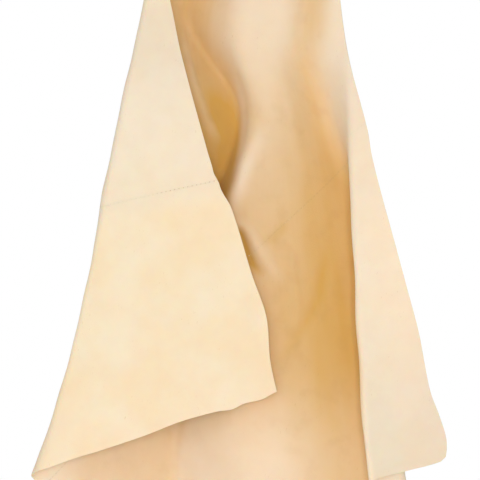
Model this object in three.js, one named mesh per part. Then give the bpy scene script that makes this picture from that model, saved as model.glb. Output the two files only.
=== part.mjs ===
// A chamois leather, hanging in folds from one corner.
// It is pieced together from three skins, an upper panel, a corner panel and a main skin, whose
// butted edges are held by two rows of zigzag sewing.
// The skins are cut on the flat and then draped. The folds are those of a sheet hung from a point:
// straight lines that fan out from a fan point a little above the hang corner, so that the leather
// only bends and is nowhere stretched.
// Millimetres and degrees, +Z up, +X right and -Y towards the viewer, origin at the hang corner.
import * as THREE from "three";

// Leather and sewing
const LEATHER = 1;
const SEAM_GAP = 0.3;
const THREAD = 0.5;
const THREAD_CLEARANCE = 0.3;
const STITCH = 3.6;
const STITCH_REACH = 1.6;

// The flat cut. Angles are counted from the line of the left fold, towards the right.
const FAN_REACH = 202; // fan point to hang corner
const HANG_ANGLE = 19.7;
const LEFT_EDGE = 520;
const LEFT_EDGE_ANGLE = 28;
const RIGHT_EDGE = 552;
const RIGHT_EDGE_ANGLE = 40;
const LEFT_HEM = 420;
const LEFT_CORNER_ANGLE = 93.3;
const CROSS_SEAM_DOWN_EDGE = 346; // hang corner to cross seam, along the left edge
const CROSS_SEAM_UP_SEAM = 201; // hem to cross seam, along the long seam
const LONG_SEAM_ALONG_HEM = 225; // left corner to long seam, along the hem
const LONG_SEAM_DOWN_EDGE = 275; // hang corner to long seam, along the right edge
const RIGHT_CORNER_RADIUS = 9;

// The cut edges aren't quite straight: how far they stand out at a share of their length.
const LEFT_EDGE_BOW = [[0, 0], [0.29, -1], [0.46, -5.5], [0.62, -6], [0.71, 0], [0.88, 5.5], [1, 0]];
const LEFT_HEM_BOW = [[0, 0], [0.06, 3], [0.17, -1], [1, 0]];
const RIGHT_HEM_BOW = [[0, 0], [0.4, -5], [0.79, -13], [1, 0]];
const RIGHT_EDGE_BOW = [[0, 0], [1, 0]];

// The drape. At each level below the hang corner, a level section starts on the front flap and meets
// the fold lines one by one. Each line lies at an angle in the flat skin and has a width there, and
// past it the leather heads another way: 0 is to the right, 90 to the back and 180 to the left.
// The levels are the tip, the shoulder, the chest, the waist and the foot.
const LEVELS = [23, 163, 243, 353, 548].map((below) => FAN_REACH + below);
const OUTLINE_SLOPE = [-0.2178, -0.2178, -0.217, -0.216, -0.2235]; // lean of the left fold
const FLAP_HEADING = 180;
const FOLD_LINES = [
  {
    name: "left fold",
    angle: [0, 0, 0, 0, 0],
    heading: [0, 46, 28, 28, 26],
    width: [2.2, 2.2, 2.2, 2.2, 2.2],
  },
  {
    name: "pocket",
    angle: [6, 7.5, 13.6, 9.7, 9.8],
    heading: [0, -34, -62, -60, -40],
    width: [2.6, 2.6, 1.6, 1.6, 0.9],
  },
  {
    name: "inner ridge",
    angle: [16, 16, 16.8, 13.6, 15],
    heading: [0, 6, 4, 2, -9],
    width: [3.5, 3.5, 2, 1.8, 3.5],
  },
  {
    name: "right valley",
    angle: [21, 21, 20.5, 21, 20],
    heading: [0, 20, 43, 0, -1],
    width: [2.6, 2.6, 2.6, 2.6, 2.6],
  },
  {
    name: "back fold",
    angle: [25.5, 24.3, 24.5, 25.8, 25.6],
    heading: [0, -5, -63, -116, -159],
    width: [2.2, 3, 4, 2.2, 2.2],
  },
  {
    name: "right ridge",
    angle: [28.5, 30.3, 30.1, 29.3, 28.7],
    heading: [0, 20, 12, -6, 28],
    width: [2.4, 3, 2, 1, 1],
  },
];

// How finely the skins are faceted
const FACET_LENGTH = 42;
const FOLD_FACETS = 8; // across each fold
const FLAT_FACETS = 4; // across the flat between two folds
const SECTION_STEP = 0.2;
const FAN_MARGIN = 1; // fan beyond the outermost corners
const FLAT_STEP = 0.05; // flat distance over which a slope is measured
const SNAP = 0.05; // a cut that passes this near a facet's corner goes through it

const { degToRad, radToDeg, smoothstep, clamp, lerp } = THREE.MathUtils;

// A flat step of a length at an angle, as across and down.
function stride(length, angle) {
  const turn = degToRad(angle);
  return new THREE.Vector2(length * Math.sin(turn), length * Math.cos(turn));
}

// The point at a distance from one flat point towards another.
function along(from, to, distance) {
  return from.clone().lerp(to, distance / from.distanceTo(to));
}

// The fan's angle at a flat point.
function fanAngle(flat) {
  return radToDeg(Math.atan2(flat.x, flat.y));
}

// The flat cut's corners, the ends of the seams and the part of the fan that they take up
const hangCorner = stride(FAN_REACH, HANG_ANGLE);
const leftCorner = hangCorner.clone().add(stride(LEFT_EDGE, -LEFT_EDGE_ANGLE));
const rightCorner = hangCorner.clone().add(stride(RIGHT_EDGE, RIGHT_EDGE_ANGLE));
const hemAngle = 180 - LEFT_CORNER_ANGLE - LEFT_EDGE_ANGLE;
const bottomCorner = leftCorner.clone().add(stride(LEFT_HEM, hemAngle));
const longSeam = {
  from: along(leftCorner, bottomCorner, LONG_SEAM_ALONG_HEM),
  to: along(hangCorner, rightCorner, LONG_SEAM_DOWN_EDGE),
};
const crossSeam = {
  from: along(hangCorner, leftCorner, CROSS_SEAM_DOWN_EDGE),
  to: along(longSeam.from, longSeam.to, CROSS_SEAM_UP_SEAM),
};
const cornerAngles = [leftCorner, bottomCorner, rightCorner].map(fanAngle);
const foldAngles = FOLD_LINES.flatMap(({ angle, width }) =>
  angle.flatMap((middle, level) => [middle - width[level], middle + width[level]]),
);
const fanStart = Math.min(...cornerAngles, ...foldAngles) - FAN_MARGIN;
const fanEnd = Math.max(...cornerAngles, ...foldAngles) + FAN_MARGIN;

// The value of a broken line of [place, value] pairs.
function brokenLine(pairs, place) {
  const next = Math.max(1, pairs.findIndex(([at]) => at >= place));
  const [[start, low], [end, high]] = pairs.slice(next - 1, next + 1);
  return low + ((high - low) * (place - start)) / (end - start);
}

// A smooth run through one value at each level, held level above the tip and below the foot.
function atLevel(values, reach) {
  const last = LEVELS.length - 1;
  const place = clamp(reach, LEVELS[0], LEVELS[last]);
  const lower = Math.max(1, LEVELS.findIndex((level) => level >= place));
  const upper = lower - 1;
  const span = LEVELS[lower] - LEVELS[upper];
  const slope = (at) =>
    at === 0 || at === last
      ? 0
      : (span * (values[at + 1] - values[at - 1])) / (LEVELS[at + 1] - LEVELS[at - 1]);
  const t = (place - LEVELS[upper]) / span;
  const end = t * t * (3 - 2 * t);
  return (
    values[upper] * (1 - end) +
    values[lower] * end +
    slope(upper) * t * (1 - t) * (1 - t) -
    slope(lower) * t * t * (1 - t)
  );
}

// The fold lines at one reach from the fan point: the angles where each starts and ends, and the
// heading past it.
function foldsAt(reach) {
  return FOLD_LINES.map(({ angle, heading, width }) => ({
    start: atLevel(angle, reach) - atLevel(width, reach) / 2,
    end: atLevel(angle, reach) + atLevel(width, reach) / 2,
    heading: atLevel(heading, reach),
  }));
}

// The way the leather heads at an angle of the fan.
function headingAt(angle, folds) {
  let heading = FLAP_HEADING;
  let before = FLAP_HEADING;
  for (const fold of folds) {
    heading += (fold.heading - before) * smoothstep(angle, fold.start, fold.end);
    before = fold.heading;
  }
  return degToRad(heading);
}

// The level section at one reach from the fan point, for a drop of one: the sideways and backward
// run at every step of the fan, with the left fold on its outline and the hang line plumb.
function sectionAt(reach) {
  const folds = foldsAt(reach);
  const run = [new THREE.Vector2()];
  const step = degToRad(SECTION_STEP);
  for (let angle = fanStart + SECTION_STEP / 2; angle < fanEnd; angle += SECTION_STEP) {
    const heading = headingAt(angle, folds);
    const ahead = new THREE.Vector2(Math.cos(heading), Math.sin(heading)).multiplyScalar(step);
    run.push(run.at(-1).clone().add(ahead));
  }
  const at = (angle) => {
    const place = (angle - fanStart) / SECTION_STEP;
    const index = clamp(Math.floor(place), 0, run.length - 2);
    return run[index].clone().lerp(run[index + 1], place - index);
  };
  const shift = new THREE.Vector2(
    atLevel(OUTLINE_SLOPE, reach) - at(0).x,
    -at(HANG_ANGLE).y,
  );
  return (angle) => at(angle).add(shift);
}

// Where a flat point hangs, seen from the fan point.
function hang(flat) {
  const reach = flat.length();
  const { x, y } = sectionAt(reach)(fanAngle(flat));
  return new THREE.Vector3(x, y, -1).setLength(reach);
}

const origin = hang(hangCorner);

// The middle of the leather's thickness at a flat point, and the way its outer face looks there.
function drape(flat) {
  const slope = (across, down) => {
    const step = new THREE.Vector2(across, down).multiplyScalar(FLAT_STEP);
    return hang(flat.clone().add(step)).sub(hang(flat.clone().sub(step)));
  };
  return {
    middle: hang(flat).sub(origin),
    outward: slope(1, 0).cross(slope(0, 1)).normalize(),
  };
}

// A cut on the flat, as the distance of a point inside it. The leather that is kept lies on the
// left of the way from one end to the other, seen from the inner face.
function cut(from, to, { bow = [[0, 0], [1, 0]], margin = 0 } = {}) {
  const length = from.distanceTo(to);
  const way = to.clone().sub(from).normalize();
  return (point) => {
    const arm = point.clone().sub(from);
    const stand = brokenLine(bow, clamp(arm.dot(way) / length, 0, 1));
    const distance = arm.x * way.y - arm.y * way.x + stand - margin;
    return Math.abs(distance) < SNAP ? 0 : distance;
  };
}

const leftEdge = cut(hangCorner, leftCorner, { bow: LEFT_EDGE_BOW });
const leftHem = cut(leftCorner, bottomCorner, { bow: LEFT_HEM_BOW });
const rightHem = cut(bottomCorner, rightCorner, { bow: RIGHT_HEM_BOW });
const rightEdge = cut(rightCorner, hangCorner, { bow: RIGHT_EDGE_BOW });
const seamSide = (from, to) => cut(from, to, { margin: SEAM_GAP / 2 });
const aboveCrossSeam = seamSide(crossSeam.from, crossSeam.to);
const belowCrossSeam = seamSide(crossSeam.to, crossSeam.from);
const leftOfLongSeam = seamSide(longSeam.from, longSeam.to);
const rightOfLongSeam = seamSide(longSeam.to, longSeam.from);

// Straight nips that round off a corner of the flat cut.
function roundedCorner(before, corner, after, radius) {
  const [back, ahead] = [before, after].map((end) => end.clone().sub(corner).normalize());
  const inward = back.clone().add(ahead).normalize();
  const half = Math.acos(inward.dot(ahead));
  const centre = corner.clone().addScaledVector(inward, radius / Math.sin(half));
  return [-0.5, 0, 0.5].map((share) => {
    const turn = share * (Math.PI / 2 - half);
    const outward = inward.clone().negate().rotateAround(new THREE.Vector2(), turn);
    return (point) => radius - point.clone().sub(centre).dot(outward);
  });
}

const rightCornerNips = roundedCorner(bottomCorner, rightCorner, hangCorner, RIGHT_CORNER_RADIUS);

// The part of a flat facet that a cut keeps.
function trim(facet, side) {
  return facet.flatMap((point, i) => {
    const next = facet[(i + 1) % facet.length];
    const here = side(point);
    const there = side(next);
    const kept = here >= 0 ? [point] : [];
    if (here * there >= 0) return kept;
    const [inner, outer] = here > 0 ? [point, next] : [next, point];
    const share = side(inner) / (side(inner) - side(outer));
    return [...kept, inner.clone().lerp(outer, share)];
  });
}

// A flat facet as triangles that share a corner, the corner that leaves no thin ones.
function fan(facet) {
  const area = (a, b, c) => (b.x - a.x) * (c.y - a.y) - (b.y - a.y) * (c.x - a.x);
  const choices = facet.map((first, i) => {
    const rest = [...facet.slice(i + 1), ...facet.slice(0, i)];
    return rest.slice(1).map((point, j) => [first, rest[j], point]);
  });
  const least = (triangles) => Math.min(...triangles.map((corners) => area(...corners)));
  return choices.reduce((best, choice) => (least(choice) > least(best) ? choice : best));
}

// A closed geometry from corner positions and triangles.
function closedGeometry(corners, triangles) {
  const geometry = new THREE.BufferGeometry();
  const positions = corners.flatMap((corner) => corner.toArray());
  geometry.setAttribute("position", new THREE.Float32BufferAttribute(positions, 3));
  geometry.setIndex(triangles.flat());
  geometry.computeVertexNormals();
  return geometry;
}

// A ring of facet corners on the flat, at one reach from the fan point: close together over each
// fold, with a few on the flat between.
function ringAt(reach) {
  const folds = foldsAt(reach).flatMap(({ start, end }) => [start, end]);
  const stops = [fanStart, ...folds, fanEnd];
  const angles = folds.concat(fanEnd).flatMap((stop, i) => {
    const count = i % 2 ? FOLD_FACETS : FLAT_FACETS;
    return Array.from({ length: count }, (_, j) => lerp(stops[i], stop, (j + 1) / count));
  });
  return [fanStart, ...angles].map((angle) => stride(reach, angle));
}

// The facets of the fan over the whole cut, on the flat.
function fanFacets() {
  const nearest = FAN_REACH - FACET_LENGTH / 2;
  const farthest = Math.max(leftCorner.length(), bottomCorner.length(), rightCorner.length());
  const rows = Math.ceil((farthest - nearest) / FACET_LENGTH) + 1;
  const rings = Array.from({ length: rows }, (_, row) => ringAt(nearest + row * FACET_LENGTH));
  return rings.slice(1).flatMap((lower, row) => {
    const upper = rings[row];
    return lower.slice(1).map((corner, i) => [upper[i], upper[i + 1], corner, lower[i]]);
  });
}

// A skin inside its cuts, draped and given its thickness: an outer face, an inner face and the rim.
function skinGeometry(...cuts) {
  const places = new Map();
  const outer = [];
  const number = (point) => {
    const key = `${point.x.toFixed(4)} ${point.y.toFixed(4)}`;
    if (!places.has(key)) places.set(key, { index: places.size, point });
    return places.get(key).index;
  };
  for (const facet of fanFacets()) {
    const kept = cuts.reduce(trim, facet);
    if (kept.length < 3) continue;
    for (const triangle of fan(kept)) outer.push(triangle.map(number));
  }
  const draped = [...places.values()].map(({ point }) => drape(point));
  const face = (stand) =>
    draped.map(({ middle, outward }) => middle.clone().addScaledVector(outward, stand));
  const count = draped.length;
  const inner = outer.map(([a, b, c]) => [c + count, b + count, a + count]);
  const sides = outer.flatMap(([a, b, c]) => [[a, b], [b, c], [c, a]]);
  const paired = new Set(sides.map(([a, b]) => `${b} ${a}`));
  const rim = sides
    .filter(([a, b]) => !paired.has(`${a} ${b}`))
    .flatMap(([a, b]) => [[b, a, a + count], [b, a + count, b + count]]);
  return closedGeometry([...face(LEATHER / 2), ...face(-LEATHER / 2)], [...outer, ...inner, ...rim]);
}

// A row of zigzag stitches over a seam, on the outer face: one unbroken thread of square section,
// mitred where it turns.
function zigzagGeometry({ from, to }, startMargin, endMargin) {
  const run = from.distanceTo(to) - startMargin - endMargin;
  const turns = 2 * Math.floor(run / STITCH);
  const way = to.clone().sub(from).normalize();
  const across = new THREE.Vector2(-way.y, way.x);
  const lift = LEATHER / 2 + THREAD_CLEARANCE + THREAD / 2;
  const mitre = Math.hypot(STITCH / 2, 2 * STITCH_REACH) / (STITCH / 2);
  const section = [[-1, -1], [1, -1], [1, 1], [-1, 1]];
  const corners = Array.from({ length: turns + 1 }, (_, i) => {
    const side = i % 2 ? STITCH_REACH : -STITCH_REACH;
    const flat = along(from, to, startMargin + (i * STITCH) / 2).addScaledVector(across, side);
    const { middle, outward } = drape(flat);
    const beside = drape(flat.clone().addScaledVector(across, THREAD)).middle;
    const sideways = beside.sub(middle).setLength((mitre * THREAD) / 2);
    return section.map(([right, up]) =>
      middle
        .clone()
        .addScaledVector(outward, lift + (up * THREAD) / 2)
        .addScaledVector(sideways, right),
    );
  }).flat();
  const walls = Array.from({ length: 4 * turns }, (_, a) => {
    const b = a % 4 < 3 ? a + 1 : a - 3;
    return [[a, b, b + 4], [a, b + 4, a + 4]];
  }).flat();
  const last = 4 * turns;
  const caps = [[0, 2, 1], [0, 3, 2], [last, last + 1, last + 2], [last, last + 2, last + 3]];
  return closedGeometry(corners, [...walls, ...caps]);
}

function piece(name, geometry, color, roughness) {
  const material = new THREE.MeshStandardMaterial({ color, roughness, metalness: 0 });
  const mesh = new THREE.Mesh(geometry, material);
  mesh.name = name;
  return mesh;
}

const upperPanel = skinGeometry(leftEdge, aboveCrossSeam, leftOfLongSeam, rightEdge);
const cornerPanel = skinGeometry(leftEdge, leftHem, leftOfLongSeam, belowCrossSeam);
const mainSkin = skinGeometry(leftHem, rightHem, rightEdge, rightOfLongSeam, ...rightCornerNips);
const crossThread = zigzagGeometry(crossSeam, STITCH, STITCH + STITCH_REACH);
const longThread = zigzagGeometry(longSeam, STITCH, STITCH);

const chamois = new THREE.Group();
chamois.add(
  piece("upper_panel", upperPanel, "#f1dfc0", 0.95),
  piece("corner_panel", cornerPanel, "#fae5bd", 0.95),
  piece("main_skin", mainSkin, "#f2dcb4", 0.95),
  piece("cross_seam_thread", crossThread, "#ead6ae", 0.8),
  piece("long_seam_thread", longThread, "#ead6ae", 0.8),
);

export default chamois;
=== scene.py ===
import math

import bmesh
import bpy
import numpy as np
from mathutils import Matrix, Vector


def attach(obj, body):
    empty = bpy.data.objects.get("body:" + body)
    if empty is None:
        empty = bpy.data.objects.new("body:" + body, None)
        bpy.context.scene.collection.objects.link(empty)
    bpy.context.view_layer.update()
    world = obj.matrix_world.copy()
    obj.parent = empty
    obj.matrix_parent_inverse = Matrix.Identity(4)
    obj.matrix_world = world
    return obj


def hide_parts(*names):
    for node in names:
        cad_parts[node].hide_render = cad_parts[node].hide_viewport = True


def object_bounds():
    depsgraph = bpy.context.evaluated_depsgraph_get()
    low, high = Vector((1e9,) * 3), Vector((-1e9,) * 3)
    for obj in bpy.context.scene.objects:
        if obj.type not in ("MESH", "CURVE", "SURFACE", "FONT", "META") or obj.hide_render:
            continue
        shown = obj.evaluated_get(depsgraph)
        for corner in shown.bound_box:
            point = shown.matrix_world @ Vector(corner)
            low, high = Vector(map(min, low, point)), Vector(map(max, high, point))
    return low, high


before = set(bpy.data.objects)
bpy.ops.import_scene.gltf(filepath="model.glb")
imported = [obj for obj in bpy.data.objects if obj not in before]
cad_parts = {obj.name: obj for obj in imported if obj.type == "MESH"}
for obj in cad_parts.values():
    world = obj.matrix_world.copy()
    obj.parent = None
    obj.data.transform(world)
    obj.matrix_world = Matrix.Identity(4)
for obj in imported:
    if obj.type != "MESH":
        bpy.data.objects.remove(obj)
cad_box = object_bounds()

# Upper panel: the paler skin with the corner by which the leather hangs. All three skins are oil
# tanned, split and buffed to a soft nap on both faces, about 1 mm thick, and cut with a knife, so
# their edges are raw. They were sewn edge to edge while flat, and then hung up by the corner.
LEATHER = 0.001
GRID_CELL = 0.0016
MERGE_DISTANCE = GRID_CELL / 12
JOINT_GAP = 0.00002
SHARP_ANGLE = 55
FAN_REACH = 0.202
HANG_ANGLE = 19.7


def stride(length, angle):
    """A step on the flat, across and down, at an angle from the line of the left fold."""
    turn = math.radians(angle)
    return np.array((length * math.sin(turn), length * math.cos(turn)))


def along(start, end, distance):
    return start + (end - start) * distance / np.linalg.norm(end - start)


hang_corner = stride(FAN_REACH, HANG_ANGLE)
left_corner = hang_corner + stride(0.520, -28)
right_corner = hang_corner + stride(0.552, 40)
bottom_corner = left_corner + stride(0.420, 58.7)
hem_seam_end = along(left_corner, bottom_corner, 0.225)
right_seam_end = along(hang_corner, right_corner, 0.275)
left_seam_end = along(hang_corner, left_corner, 0.346)
seam_meeting = along(hem_seam_end, right_seam_end, 0.201)


def ease(t):
    """A smooth step from 0 to 1."""
    return t * t * (3 - 2 * t)


def bell(distance, width):
    """A soft hump, 1 at no distance and fading out over a width."""
    return np.exp(-((distance / width) ** 2))


def smooth_run(places, values, at):
    """A smooth curve through a value at each place, level before the first and past the last."""
    places, values = np.array(places, float), np.array(values, float)
    slopes = np.zeros(len(places))
    slopes[1:-1] = (values[2:] - values[:-2]) / (places[2:] - places[:-2])
    at = np.clip(at, places[0], places[-1])
    low = np.clip(np.searchsorted(places, at) - 1, 0, len(places) - 2)
    span = places[low + 1] - places[low]
    t = (at - places[low]) / span
    return (
        values[low] * (1 - ease(t))
        + values[low + 1] * ease(t)
        + span * slopes[low] * t * (1 - t) ** 2
        - span * slopes[low + 1] * t * t * (1 - t)
    )


# Each fold line: its angle in the skin at five levels, the way the leather heads past it there,
# and its width. A heading of 0 runs to the right, 90 to the back and 180 to the left.
LEVELS = FAN_REACH + np.array((0.023, 0.163, 0.243, 0.353, 0.548))
OUTLINE_SLOPE = (-0.2178, -0.2178, -0.217, -0.216, -0.2235)
FOLDS = (
    ((0, 0, 0, 0, 0), (0, 46, 28, 28, 26), (2.2, 2.2, 2.2, 2.2, 2.2)),
    ((6, 7.5, 13.6, 9.7, 9.8), (0, -34, -62, -60, -40), (2.6, 2.6, 1.6, 1.6, 0.9)),
    ((16, 16, 16.8, 13.6, 15), (0, 6, 4, 2, -9), (3.5, 3.5, 2, 1.8, 3.5)),
    ((21, 21, 20.5, 21, 20), (0, 20, 43, 0, -1), (2.6, 2.6, 2.6, 2.6, 2.6)),
    ((25.5, 24.3, 24.5, 25.8, 25.6), (0, -5, -63, -116, -159), (2.2, 3, 4, 2.2, 2.2)),
    ((28.5, 30.3, 30.1, 29.3, 28.7), (0, 20, 12, -6, 28), (2.4, 3, 2, 1, 1)),
)
HEADING_BEFORE = 180
SECTION_STEPS = 160


def fan_place(flat):
    """Reach and angle of points of the flat skin, from the point where the folds would meet."""
    return np.hypot(*flat.T), np.degrees(np.arctan2(*flat.T))


def crossed(angle, middle, width):
    """How far angles have come across a line of the fan, from 0 to 1."""
    return ease(np.clip((angle - middle) / width + 0.5, 0, 1))


def section_run(folds, start, end, way):
    """How far a level section runs between two angles of the fan, for a drop of one."""
    total = 0
    for share in (np.arange(SECTION_STEPS) + 0.5) / SECTION_STEPS:
        angle = start + (end - start) * share
        heading = before = HEADING_BEFORE
        for middle, after, width in folds:
            heading = heading + (after - before) * crossed(angle, middle, width)
            before = after
        total = total + way(np.radians(heading))
    return total / SECTION_STEPS * np.radians(end - start)


def hang_from_fan(flat):
    """Where points of the flat skin hang, seen from the point where the folds would meet."""
    reach, angle = fan_place(flat)
    folds = [[smooth_run(LEVELS, values, reach) for values in fold] for fold in FOLDS]
    right = smooth_run(LEVELS, OUTLINE_SLOPE, reach) + section_run(folds, 0, angle, np.cos)
    back = section_run(folds, HANG_ANGLE, angle, np.sin)
    line = np.stack((right, back, -np.ones_like(reach)), 1)
    return line * (reach / np.linalg.norm(line, axis=1))[:, None]


def hang(flat):
    return hang_from_fan(flat) - hang_from_fan(hang_corner[None])


def outer_way(flat):
    """The way the outer face looks at points of the hanging skin."""
    step = 0.0002
    hung = hang(flat)
    normal = np.cross(hang(flat + (step, 0)) - hung, hang(flat + (0, step)) - hung)
    return normal / np.linalg.norm(normal, axis=1)[:, None]


# The knife wandered: how far each cut edge stands out at a distance along it.
CUT_EDGES = (
    (
        hang_corner,
        left_corner,
        (0, 0.15, 0.2, 0.24, 0.32, 0.334, 0.34, 0.347, 0.355, 0.37, 0.425, 0.46, 0.495, 0.52),
        (0, -0.001, -0.003, -0.0055, -0.006, -0.0057, -0.0058, -0.0042, -0.0035, 0.0002, 0.0025,
         0.0056, 0.0006, 0),
    ),
    (
        left_corner,
        bottom_corner,
        (0, 0.013, 0.028, 0.038, 0.05, 0.08, 0.11, 0.15, 0.17, 0.23, 0.33, 0.42),
        (0.001, 0.003, 0.0018, 0.0032, 0.001, -0.0004, 0.0012, 0.0012, 0.0004, 0.001, -0.002, 0),
    ),
    (
        bottom_corner,
        right_corner,
        (0, 0.08, 0.14, 0.2, 0.275, 0.306, 0.349),
        (0, -0.003, -0.005, -0.007, -0.0132, -0.0075, 0),
    ),
    (
        right_corner,
        hang_corner,
        (0, 0.016, 0.034, 0.057, 0.1, 0.15, 0.25, 0.27, 0.33, 0.4, 0.552),
        (0, 0.0028, 0.001, -0.003, -0.002, -0.0022, -0.0005, 0.001, -0.001, 0, 0),
    ),
)
CUT_FADE = 0.03


def edge_frame(flat, start, end):
    """Distance along a straight line on the flat, distance inside it, and the way out from it."""
    way = (end - start) / np.linalg.norm(end - start)
    arm = flat - start
    return arm @ way, arm[:, 0] * way[1] - arm[:, 1] * way[0], np.array((-way[1], way[0]))


def true_cut(flat):
    """Flat points moved out or in with the edge that they are near."""
    moved = flat.copy()
    for start, end, places, stands in CUT_EDGES:
        run, inside, outward = edge_frame(flat, start, end)
        moved += (smooth_run(places, stands, run) * bell(inside, CUT_FADE))[:, None] * outward
    return moved


def crease(flat, line, height, width):
    """A ridge along a line of points on the flat, in millimetres, fading out at its ends."""
    points = np.array(line) / 1000
    nearest, share = np.full(len(flat), np.inf), np.zeros(len(flat))
    for i, (start, end) in enumerate(zip(points, points[1:])):
        t = np.clip((flat - start) @ (end - start) / ((end - start) @ (end - start)), 0, 1)
        gap = np.linalg.norm(flat - start - t[:, None] * (end - start), axis=1)
        share = np.where(gap < nearest, (i + t) / (len(points) - 1), share)
        nearest = np.minimum(gap, nearest)
    ends = np.clip(4 * share, 0, 1) * np.clip(4 * (1 - share), 0, 1)
    return height * bell(nearest, width) * ends


# A thin crease down the wall of the pocket, just inside the front flap's edge, a dart across the
# inner ridge with the hollow below it, and two soft creases past it.
POCKET_CREASE = ((48, 372), (54, 392), (62, 414), (72, 435), (82, 451), (90, 458), (104, 465))
DART = ((133, 509), (142, 519), (153, 526), (166, 538), (180, 551), (190, 559))
DART_HOLLOW = ((140, 521), (143, 525), (147, 531), (151, 537), (155, 543), (161, 549), (172, 556))
FAINT_CREASE = ((186, 526), (190, 537), (202, 567), (208, 592))
SOFT_CREASE = ((214, 516), (216, 531), (218, 562), (214, 580), (206, 605), (196, 628))
# Each with how far it stands out and how wide it is
CREASES = (
    (POCKET_CREASE, -0.0018, 0.0036),
    (DART, -0.0022, 0.0050),
    (DART_HOLLOW, 0.0032, 0.0045),
    (FAINT_CREASE, -0.0014, 0.0040),
    (SOFT_CREASE, 0.0020, 0.0050),
)
# The slack of the skin: a height, and two waves with their turns across, down and at the start
SLACK = (
    (0.0006, (52, 31, 0.8), (-23, 44, 0)),
    (0.0003, (110, -64, 0), (47, 88, 2)),
)
# The left fold is drawn in half way down and flares at its tip.
LEFT_FOLD_PLACES = (0.52, 0.56, 0.6, 0.64, 0.7, 0.725, 0.745, 0.765)
LEFT_FOLD_STANDS = (0, -0.002, -0.0038, -0.0044, -0.003, -0.001, 0.002, 0.004)
LEFT_FOLD_WIDTH = 2.2
# The front flap's free edge turns back a little above its corner.
TURNED_PLACE, TURNED_LENGTH = 0.465, 0.03
TURNED_WIDTH, TURNED_BACK = 0.0055, 0.0016


def relief(flat):
    """How far the leather stands out from its clean folds, towards the outer face."""
    across, down = flat.T
    stand = np.zeros(len(flat))
    for height, *waves in SLACK:
        stand += height * np.prod([np.sin(a * across + b * down + c) for a, b, c in waves], axis=0)
    for line, height, width in CREASES:
        stand += crease(flat, line, height, width)
    reach, angle = fan_place(flat)
    stand += smooth_run(LEFT_FOLD_PLACES, LEFT_FOLD_STANDS, reach) * bell(angle, LEFT_FOLD_WIDTH)
    run, inside, _ = edge_frame(flat, hang_corner, left_corner)
    turned = bell(run - TURNED_PLACE, TURNED_LENGTH) * bell(inside, TURNED_WIDTH)
    return stand - TURNED_BACK * turned


# Painted shade: lines between tones of the inner face, painted more yellow-brown and darker down in
# the hollows, where shade falls, than on the flaps: the angle in the skin at five levels, the width,
# and the share of painted shade past it.
PAINTED_SHADE_LEVELS = (0.38, 0.455, 0.53, 0.65, 0.738)
PAINTED_SHADE_LINES = (
    ((3, 3, 3, 3, 3), (3, 3, 3, 3, 3), (0.7, 0.88, 1, 0.8, 0.35)),
    ((13.4, 16.2, 13.7, 12, 10.1), (9, 5, 1, 1, 0.8), (0.12, 0.34, 0.55, 0.62, 0.13)),
    ((23.2, 20.7, 20.2, 19.5, 19.2), (5, 7, 5, 4.5, 5), (0.68, 0.76, 0.84, 0.9, 0.6)),
    ((26.4, 25.2, 25.5, 27, 27), (4, 4, 3, 1.2, 1.2), (0.3, 0.3, 0.84, 0.9, 0.6)),
    ((27.6, 27.2, 27.9, 28.9, 28.5), (3, 4, 2.6, 0.9, 0.9), (0, 0, 0, 0, 0)),
)
DARKER_SPOT = ((162, 532), (171, 523), (176, 514), (179, 505))
INNER_RIDGE = ((139, 436), (136, 456), (134, 478), (134, 498), (138, 514))
POCKET_FLOOR = ((80, 420), (90, 437), (98, 448), (106, 460), (109, 474), (108, 487))
POCKET_WALL = ((106, 405), (113, 422), (120, 440), (124, 460), (127, 480), (130, 500))
RIGHT_WALL = ((165, 345), (175, 360), (193, 396), (210, 431), (226, 458))
RIGHT_BAND = ((137, 323), (145, 341), (164, 387), (180, 423), (190, 462))
# Lines on the flat with more painted shade, or with less as painted light on walls and ridges, with how
# much and how wide
PAINTED_SHADE_AND_LIGHT_MARKS = (
    (DART_HOLLOW, 0.6, 0.0038),
    (DART, -0.14, 0.0050),
    (DARKER_SPOT, 0.12, 0.0045),
    (SOFT_CREASE, 0.09, 0.0045),
    (INNER_RIDGE, -0.3, 0.0060),
    (POCKET_CREASE, -0.2, 0.0045),
    (POCKET_FLOOR, 0.35, 0.0090),
    (POCKET_WALL, -0.38, 0.0080),
    (RIGHT_WALL, -0.15, 0.0100),
    (RIGHT_BAND, -0.1, 0.0120),
)


def painted_shade(flat):
    """The share of painted shade, yellow-brown and darker, at points of the flat."""
    reach, angle = fan_place(flat)
    share = before = 0
    for line in PAINTED_SHADE_LINES:
        middle, width, after = (smooth_run(PAINTED_SHADE_LEVELS, values, reach) for values in line)
        share = share + (after - before) * crossed(angle, middle, width)
        before = after
    for line, more, width in PAINTED_SHADE_AND_LIGHT_MARKS:
        share = share + crease(flat, line, more, width)
    return share


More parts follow.
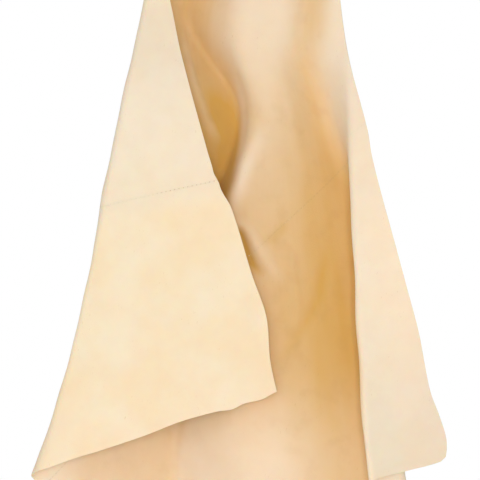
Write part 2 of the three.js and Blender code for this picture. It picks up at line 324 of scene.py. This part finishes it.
def cut_skin(name, *outline):
    """A skin cut along the lines between flat points, hung in its folds and given its thickness."""
    corners = np.array(outline)
    low, high = corners.min(0) - GRID_CELL, corners.max(0) + GRID_CELL
    cells = np.ceil((high - low) / GRID_CELL).astype(int)
    skin = bmesh.new()
    bmesh.ops.create_grid(skin, x_segments=int(cells[0]), y_segments=int(cells[1]), size=0.5)
    bmesh.ops.scale(skin, vec=(*(high - low), 1), verts=skin.verts)
    bmesh.ops.translate(skin, vec=(*((high + low) / 2), 0), verts=skin.verts)
    for start, end in zip(corners, np.roll(corners, -1, axis=0)):
        way = (end - start) / np.linalg.norm(end - start)
        outward = Vector((-way[1], way[0], 0))
        bmesh.ops.bisect_plane(
            skin,
            geom=skin.verts[:] + skin.edges[:] + skin.faces[:],
            plane_co=Vector((*start, 0)) - outward * JOINT_GAP / 2,
            plane_no=outward,
            clear_outer=True,
        )
    bmesh.ops.remove_doubles(skin, verts=skin.verts, dist=MERGE_DISTANCE)
    flat = true_cut(np.array([vert.co[:2] for vert in skin.verts]))
    flat_layer = skin.loops.layers.uv.new("flat")
    painted_shade_layer = skin.verts.layers.float.new("painted_shade")
    for face in skin.faces:
        face.smooth = True
        for loop in face.loops:
            loop[flat_layer].uv = flat[loop.vert.index]
    stand = relief(flat) + LEATHER / 2
    for vert, place in zip(skin.verts, hang(flat) + outer_way(flat) * stand[:, None]):
        vert.co = place
    skin.normal_update()
    # Painted shade, kept on the inner face only: the original face's copy is cleared after solidifying.
    for vert, share in zip(skin.verts, painted_shade(flat)):
        vert[painted_shade_layer] = share
    outer_face = skin.verts[:]
    bmesh.ops.solidify(skin, geom=skin.faces[:], thickness=LEATHER)
    for vert in outer_face:
        vert[painted_shade_layer] = 0
    mesh = bpy.data.meshes.new(name)
    skin.to_mesh(mesh)
    skin.free()
    mesh.set_sharp_from_angle(angle=math.radians(SHARP_ANGLE))
    piece = bpy.data.objects.new(name, mesh)
    bpy.context.collection.objects.link(piece)
    return piece


class Shade:
    """A socket of a material's nodes, so that sums on it can be written as Python expressions."""

    def __init__(self, tree, socket=None):
        self.tree = tree
        self.socket = socket

    def node(self, kind, settings, inputs, output=0):
        """Add a node, with its settings, its sockets' values or links, and the output to go on with."""
        made = self.tree.nodes.new(kind)
        for name, value in settings.items():
            setattr(made, name, value)
        for name, value in inputs.items():
            if isinstance(value, Shade):
                self.tree.links.new(value.socket, made.inputs[name])
            else:
                made.inputs[name].default_value = value
        return Shade(self.tree, made.outputs[output])

    def math(self, operation, *others):
        values = dict(enumerate((self, *others)))
        return self.node("ShaderNodeMath", {"operation": operation}, values)

    def __add__(self, other):
        return self.math("ADD", other)

    def __mul__(self, other):
        return self.math("MULTIPLY", other)

    def __sub__(self, other):
        return self.math("SUBTRACT", other)

    def __rsub__(self, other):
        return self * -1 + other

    __radd__ = __add__
    __rmul__ = __mul__

    def between(self, low, high):
        """0 up to the low value, 1 from the high one, and a smooth step between them."""
        inputs = {"Value": self, "From Min": low, "From Max": high}
        return self.node("ShaderNodeMapRange", {"interpolation_type": "SMOOTHSTEP"}, inputs)

    def grain(self, size, detail=2.0, stretch=(1, 1, 1)):
        """Noise with blotches of about a size in metres, on this vector."""
        scaled = self.node("ShaderNodeMapping", {}, {"Vector": self, "Scale": stretch})
        inputs = {"Vector": scaled, "Scale": 1 / size, "Detail": detail}
        return self.node("ShaderNodeTexNoise", {}, inputs)

    def tint(self, start, end):
        """The colour that this share of the way leads to, from one colour to another."""
        inputs = {"Factor": self, 6: start, 7: end}
        return self.node("ShaderNodeMix", {"data_type": "RGBA"}, inputs, 2)


def srgb(red, green, blue):
    """A colour as read on screen, 0 to 255, as the shader's linear one."""
    parts = (value / 255 for value in (red, green, blue))
    return (*(p / 12.92 if p < 0.04045 else ((p + 0.055) / 1.055) ** 2.4 for p in parts), 1)


CLOUD_SIZE, PATCH_SIZE, BLOTCH_SIZE, HAIRY_SIZE = 0.055, 0.016, 0.02, 0.03
NAP_SIZE, FIBRE_SIZE, FIBRE_STRETCH = 0.0011, 0.0009, (1, 0.22, 1)
# Streaks in the painted shade run down the folds: their width in radians of the fan, and how drawn out
# they are
STREAK_SIZE, STREAK_STRETCH = 0.028, 0.2
NAP_RELIEF = 0.0004
STITCH = 0.0036
NEEDLE_HOLE = 0.00042
HOLES_FADE = 0.012
# Each seam: its ends, how far along it the needle holes still show, and how clearly
SEAMS = (
    (left_seam_end, seam_meeting, 0.062, 0.75),
    (hem_seam_end, right_seam_end, 0.42, 0.4),
)
RUBBED_WIDTH = 0.02
RUBBED_TONE = srgb(248, 230, 203)
# The yellow-brown colour painted as shade in the hollows of the inner face.
PAINTED_HOLLOW_SHADE = srgb(219, 173, 90)


def chamois(name, pale, warm, marks_and_shade_tone):
    """Napped leather: cloudy colour, a fine nap, a few hair marks, needle holes along the seams, and
    painted shade in the hollows of the inner face.
    """
    material = bpy.data.materials.new(name)
    material.use_nodes = True
    tree = material.node_tree
    tree.nodes.clear()
    flat = Shade(tree).node("ShaderNodeUVMap", {"uv_map": "flat"}, {})
    across, down = (flat.node("ShaderNodeSeparateXYZ", {}, {0: flat}, i) for i in (0, 1))
    cloud = flat.grain(CLOUD_SIZE, 3).between(0.35, 0.65)
    patch = flat.grain(PATCH_SIZE, 4)
    nap = flat.grain(NAP_SIZE, 3)
    fibre = flat.grain(FIBRE_SIZE, 2, FIBRE_STRETCH)
    hairs = fibre.between(0.66, 0.76) * flat.grain(HAIRY_SIZE, 2).between(0.5, 0.62)
    share = flat.node("ShaderNodeAttribute", {"attribute_name": "painted_shade"}, {}, "Fac")
    reach = (across * across + down * down).math("SQRT")
    fan = {"X": across.math("ARCTAN2", down), "Y": reach * STREAK_STRETCH}
    streak = flat.node("ShaderNodeCombineXYZ", {}, fan).grain(STREAK_SIZE, 3)
    # Streaks vary the painted shade along the folds.
    share = share + (streak - 0.5) * share.between(0.05, 0.5) * 0.22
    colour = cloud.tint(pale, warm)
    holes = 0
    for start, end, shown, strength in SEAMS:
        way = (end - start) / np.linalg.norm(end - start)
        run = (across - float(start[0])) * float(way[0]) + (down - float(start[1])) * float(way[1])
        side = (across - float(start[0])) * float(way[1]) - (down - float(start[1])) * float(way[0])
        within = run.between(0.001, 0.002) * (1 - run.between(shown - HOLES_FADE, shown))
        beat = run.math("PINGPONG", STITCH / 2)
        gap = (beat * beat + side * side).math("SQRT")
        hole = 1 - gap.between(0.3 * NEEDLE_HOLE, 1.6 * NEEDLE_HOLE)
        holes = holes + hole * within * strength
        colour = (1 - side.math("ABSOLUTE").between(0, RUBBED_WIDTH)).tint(colour, RUBBED_TONE)
    # Painted shade: the inner face turns yellow-brown with its share of painted shade.
    colour = share.math("MINIMUM", 1.0).tint(colour, PAINTED_HOLLOW_SHADE)
    # Blotches show only where the painted shade lies, and past a share of one the painted shade darkens
    # further, as do hair marks, dull patches and needle holes.
    blotch = flat.grain(BLOTCH_SIZE, 3).between(0.5, 0.72) * share.between(0, 0.6) * 0.12
    dull = (1 - patch.between(0.25, 0.7)) * 0.05
    tone = hairs * 0.35 + dull + holes * 0.6 + share.between(1, 2) * 0.9 + blotch
    colour = tone.math("MINIMUM", 1.0).tint(colour, marks_and_shade_tone)
    height = nap * 0.6 + patch * 0.8 + fibre * 0.3 - holes * 2.5
    bump_inputs = {"Strength": 0.35, "Distance": NAP_RELIEF, "Height": height}
    shader = flat.node(
        "ShaderNodeBsdfPrincipled",
        {},
        {
            "Base Color": colour,
            "Roughness": 0.86 + nap * 0.1,
            "Normal": flat.node("ShaderNodeBump", {}, bump_inputs),
            "Specular IOR Level": 0.25,
            "Subsurface Weight": 0.6,
            "Subsurface Radius": (1.0, 0.6, 0.3),
            "Subsurface Scale": 0.0008,
            "Sheen Weight": 0.12,
            "Sheen Roughness": 0.5,
            "Sheen Tint": pale,
        },
    )
    output = tree.nodes.new("ShaderNodeOutputMaterial")
    tree.links.new(shader.socket, output.inputs["Surface"])
    return material


upper_outline = (hang_corner, left_seam_end, seam_meeting, right_seam_end)
upper_panel = cut_skin("chamois_upper_panel", *upper_outline)
upper_panel.data.materials.append(
    chamois(
        "pale chamois",
        pale=srgb(246, 231, 207),
        warm=srgb(247, 230, 203),
        marks_and_shade_tone=srgb(196, 150, 92),
    )
)
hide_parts("upper_panel")
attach(upper_panel, "root")

# Corner panel: a warmer, yellower piece that makes the left corner, the one that folds over to the
# front. It is cut from another skin and sewn to the upper panel and to the main skin.
corner_outline = (left_seam_end, left_corner, hem_seam_end, seam_meeting)
corner_panel = cut_skin("chamois_corner_panel", *corner_outline)
corner_panel.data.materials.append(
    chamois(
        "warm chamois",
        pale=srgb(255, 233, 204),
        warm=srgb(255, 228, 193),
        marks_and_shade_tone=srgb(205, 156, 92),
    )
)
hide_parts("corner_panel")
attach(corner_panel, "root")

# Main skin: the largest piece, with the bottom corner and the rounded right corner. It makes the
# lower back, the deep fold on the right and the narrow flap in front of that.
CORNER_ROUND = 0.007
hem_turn = along(right_corner, bottom_corner, CORNER_ROUND)
edge_turn = along(right_corner, hang_corner, CORNER_ROUND)
main_outline = (
    right_seam_end,
    hem_seam_end,
    bottom_corner,
    hem_turn,
    (hem_turn + 2 * right_corner + edge_turn) / 4,
    edge_turn,
)
main_skin = cut_skin("chamois_main_skin", *main_outline)
main_skin.data.materials.append(
    chamois(
        "buff chamois",
        pale=srgb(249, 231, 206),
        warm=srgb(249, 230, 202),
        marks_and_shade_tone=srgb(196, 146, 84),
    )
)
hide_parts("main_skin")
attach(main_skin, "root")

# Cross seam: linen thread that whips the upper and the corner panel together, over the butted
# edges on the outer face and back under them on the inner one. It has sunk into the nap.
THREAD = 0.0004
THREAD_SUNK = 0.2 * THREAD
STITCH_REACH = 0.0006
FUZZ_SIZE = 0.0006
CROSS_MARGINS = (0.00315, 0.003)


def whip_stitches(name, start, end, margins):
    """One thread, round and round a seam, as a mesh tube."""
    length = np.linalg.norm(end - start)
    way = (end - start) / length
    beside = np.array((-way[1], way[0]))
    count = int((length - sum(margins)) / STITCH)
    runs = margins[0] + STITCH * np.arange(4 * count + 1) / 4
    turn = np.arange(4 * count + 1) % 4
    sides = np.array((-1, 1, 1, -1))[turn] * STITCH_REACH
    lift = np.array((1, 1, -1, -1))[turn] * (LEATHER / 2 - THREAD_SUNK)
    flat = true_cut(start + runs[:, None] * way + sides[:, None] * beside)
    path = hang(flat) + outer_way(flat) * (relief(flat) + lift)[:, None]
    curve = bpy.data.curves.new(name + "_path", "CURVE")
    curve.dimensions = "3D"
    curve.bevel_depth = THREAD / 2
    curve.bevel_resolution = 1
    curve.use_fill_caps = True
    spline = curve.splines.new("POLY")
    spline.points.add(len(path) - 1)
    for point, place in zip(spline.points, path):
        point.co = (*place, 1)
    strand = bpy.data.objects.new(name + "_path", curve)
    bpy.context.collection.objects.link(strand)
    depsgraph = bpy.context.evaluated_depsgraph_get()
    mesh = bpy.data.meshes.new_from_object(strand.evaluated_get(depsgraph))
    mesh.name = name
    bpy.data.objects.remove(strand)
    places = np.array([vert.co for vert in mesh.vertices])
    nearest = [np.argmin(((path - place) ** 2).sum(1)) for place in places]
    # The inner-face stitches carry the leather's painted shade; the outer ones carry none.
    painted_shade_attribute = mesh.attributes.new("painted_shade", "FLOAT", "POINT")
    painted_shade_attribute.data.foreach_set("value", np.where(lift > 0, 0, painted_shade(flat))[nearest])
    thread = bpy.data.objects.new(name, mesh)
    bpy.context.collection.objects.link(thread)
    return thread


def linen(name, light, dark, painted_shade_tone):
    """Matt thread, which takes the leather's painted shade where its stitches pass on the inner face.
    """
    material = bpy.data.materials.new(name)
    material.use_nodes = True
    tree = material.node_tree
    tree.nodes.clear()
    place = Shade(tree).node("ShaderNodeTexCoord", {}, {}, "Object")
    fuzz = place.grain(FUZZ_SIZE, 2)
    share = place.node("ShaderNodeAttribute", {"attribute_name": "painted_shade"}, {}, "Fac")
    colour = share.math("MINIMUM", 1.0).tint(fuzz.between(0.3, 0.7).tint(light, dark), painted_shade_tone)
    shader = place.node(
        "ShaderNodeBsdfPrincipled", {}, {"Base Color": colour, "Roughness": 0.8 + fuzz * 0.1}
    )
    output = tree.nodes.new("ShaderNodeOutputMaterial")
    tree.links.new(shader.socket, output.inputs["Surface"])
    return material


thread_linen = linen(
    "buff linen thread",
    light=srgb(248, 230, 200),
    dark=srgb(240, 220, 186),
    painted_shade_tone=srgb(212, 160, 80),
)
cross_thread = whip_stitches("cross_seam_stitches", left_seam_end, seam_meeting, CROSS_MARGINS)
cross_thread.data.materials.append(thread_linen)
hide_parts("cross_seam_thread")
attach(cross_thread, "root")

# Long seam: the same thread, which whips the upper and the corner panel to the main skin, from the
# hem to the right edge. It was sewn last, so it runs on past the cross seam.
LONG_MARGINS = (0.00315, 0.002)
long_thread = whip_stitches("long_seam_stitches", hem_seam_end, right_seam_end, LONG_MARGINS)
long_thread.data.materials.append(thread_linen)
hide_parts("long_seam_thread")
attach(long_thread, "root")


# Studio: a white ground under the hanging leather, a broad lamp on the left, a smaller one low in
# front, one behind for the back views, a white sky, and a level camera with a long lens.
PICTURE = 480
VIEW_WIDTH = 0.384
PIXEL = VIEW_WIDTH / PICTURE
FAN_ACROSS, FAN_DOWN = 243, -450
CAMERA_DISTANCE = 4.0
SENSOR = 36
GROUND_RADIUS, GROUND_DROP = 1.1, 0.02
SKY_LIGHT = 0.455
fan_point = -hang_from_fan(hang_corner[None])[0]
view_middle = Vector((
    fan_point[0] + (PICTURE / 2 - FAN_ACROSS) * PIXEL,
    0,
    fan_point[2] - (PICTURE / 2 - FAN_DOWN) * PIXEL,
))

ground = bmesh.new()
bmesh.ops.create_circle(ground, cap_ends=True, segments=96, radius=GROUND_RADIUS)
bmesh.ops.translate(ground, vec=(0, 0, cad_box[0][2] - GROUND_DROP), verts=ground.verts)
ground_mesh = bpy.data.meshes.new("ground")
ground.to_mesh(ground_mesh)
ground.free()
ground_piece = bpy.data.objects.new("ground", ground_mesh)
bpy.context.collection.objects.link(ground_piece)
white_ground = bpy.data.materials.new("white ground")
white_ground.use_nodes = True
white_paint = white_ground.node_tree.nodes["Principled BSDF"].inputs
white_paint["Base Color"].default_value = (0.9, 0.9, 0.9, 1)
white_paint["Roughness"].default_value = 0.9
ground_mesh.materials.append(white_ground)


def lamp(name, place, size, power):
    light = bpy.data.lights.new(name, "AREA")
    light.size = size
    light.energy = power
    holder = bpy.data.objects.new(name, light)
    holder.location = place
    holder.rotation_euler = (view_middle - Vector(place)).to_track_quat("-Z", "Y").to_euler()
    bpy.context.collection.objects.link(holder)


lamp("left lamp", place=(-1.0, -2.6, 0.0), size=1.4, power=11)
lamp("front lamp", place=(0.05, -2.2, -0.42), size=0.6, power=18.5)
lamp("back lamp", place=(-0.2, 2.4, 0.1), size=1.2, power=22)

world = bpy.data.worlds.new("white studio")
bpy.context.scene.world = world
world.use_nodes = True
world.node_tree.nodes.clear()
rays = Shade(world.node_tree)
seen = rays.node("ShaderNodeLightPath", {}, {}, "Is Camera Ray")
glossy = rays.node("ShaderNodeLightPath", {}, {}, "Is Glossy Ray")
through = rays.node("ShaderNodeLightPath", {}, {}, "Is Transmission Ray")
direct = seen.math("MAXIMUM", glossy).math("MAXIMUM", through)
sky_inputs = {"Color": (1, 1, 1, 1), "Strength": direct * (1 - SKY_LIGHT) + SKY_LIGHT}
sky = rays.node("ShaderNodeBackground", {}, sky_inputs)
world_output = world.node_tree.nodes.new("ShaderNodeOutputWorld")
world.node_tree.links.new(sky.socket, world_output.inputs["Surface"])

camera = bpy.data.objects.new("camera", bpy.data.cameras.new("camera"))
camera.location = view_middle - Vector((0, CAMERA_DISTANCE, 0))
camera.rotation_euler = (math.radians(90), 0, 0)
camera.data.sensor_width = SENSOR
camera.data.lens = SENSOR * CAMERA_DISTANCE / VIEW_WIDTH
camera.data.clip_end = 20
bpy.context.collection.objects.link(camera)
bpy.context.scene.camera = camera
bpy.context.scene.view_settings.view_transform = "Standard"
